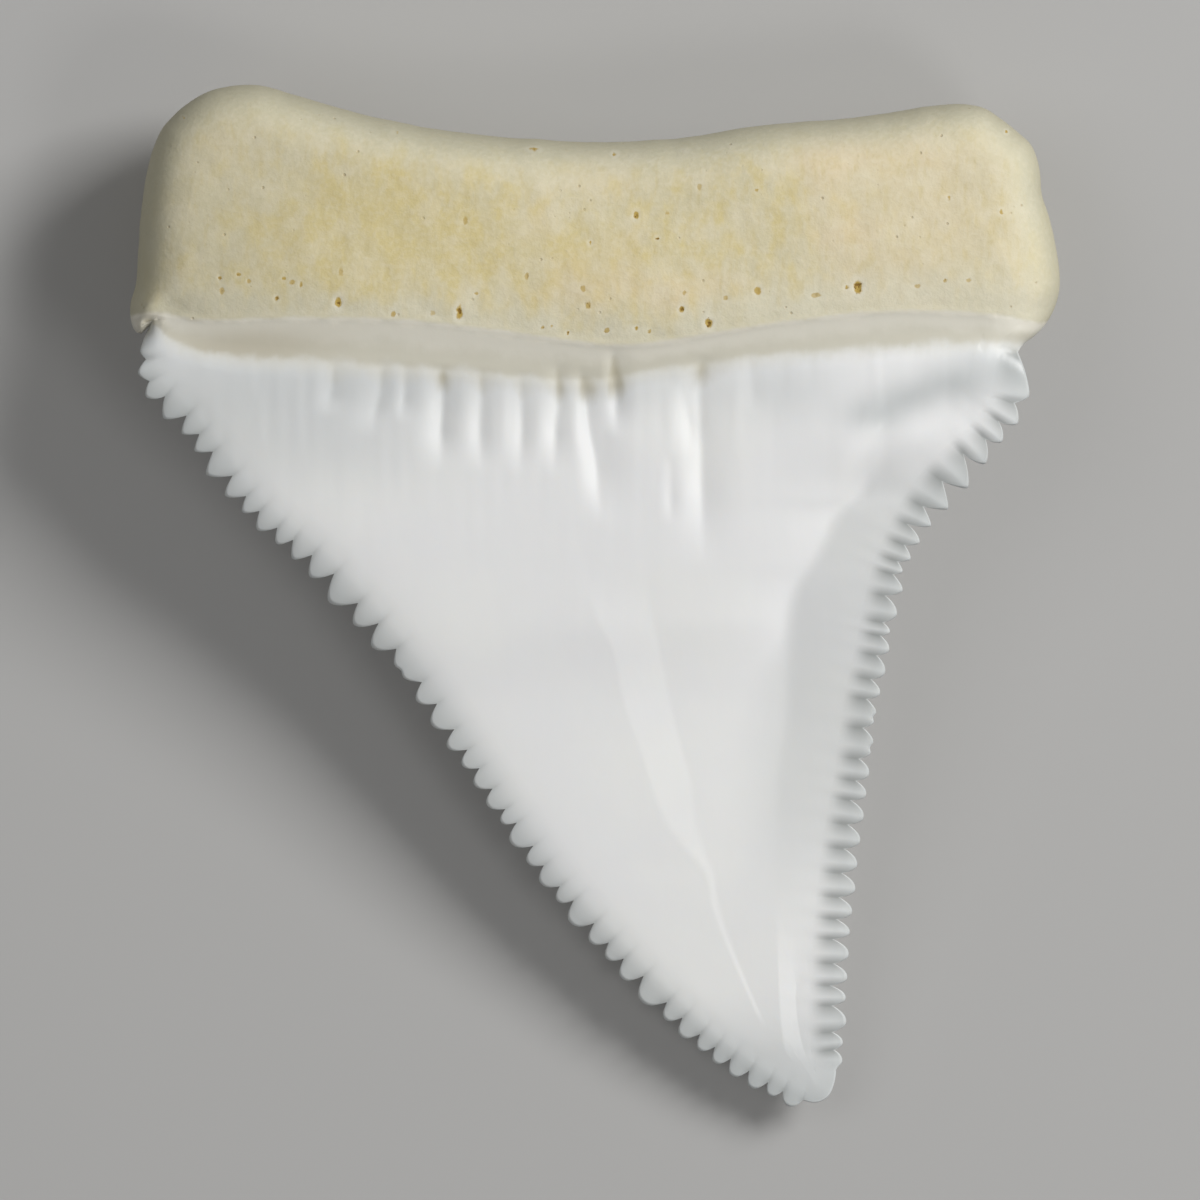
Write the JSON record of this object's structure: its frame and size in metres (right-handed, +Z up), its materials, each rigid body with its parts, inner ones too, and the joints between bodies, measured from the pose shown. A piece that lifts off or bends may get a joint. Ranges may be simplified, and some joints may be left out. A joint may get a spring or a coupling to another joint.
{
  "type": "fossil great white shark tooth",
  "caption": "Broad, slanting triangular shark tooth with serrated cutting edges, a white crown and a thick, shallowly arched cream root, lying with its outer face up.",
  "frame": {"origin": "middle of the tooth's box, on the surface it lies on", "axes": "+Y from the crown's tip towards the root, +X to the right seen from the outer face, +Z up out of the outer face"},
  "size_m": [0.042, 0.0464, 0.01],
  "materials": {
    "tooth": "satin"
  },
  "bodies": {
    "root": {"tooth": "tooth"}
  },
  "joints": []
}
